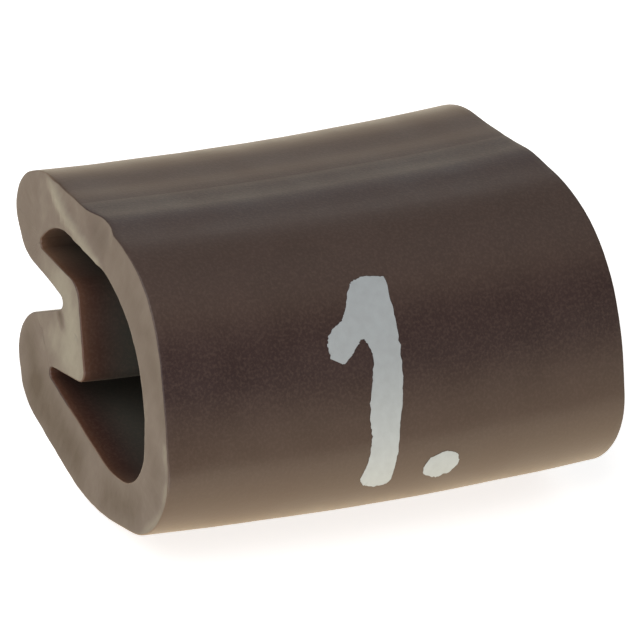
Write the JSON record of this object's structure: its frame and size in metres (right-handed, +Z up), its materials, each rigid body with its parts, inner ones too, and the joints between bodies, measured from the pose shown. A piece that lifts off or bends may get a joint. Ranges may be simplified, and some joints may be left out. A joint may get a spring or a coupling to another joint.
{
  "type": "cable marker",
  "caption": "Short slide-on cable marker cut from a soft extruded sleeve, with its back wall folded inwards so that it stretches over a wire and grips it.",
  "frame": {"origin": "middle of the flat base, halfway along the marker", "axes": "+X along the cable from the near cut end to the far one, +Y towards the folded back, +Z up from the flat base"},
  "size_m": [0.0066, 0.0051, 0.0033],
  "materials": {
    "soft_pvc": "satin, slightly dusty dark brown soft PVC"
  },
  "bodies": {
    "root": {"marker_sleeve": "soft_pvc"}
  },
  "joints": []
}
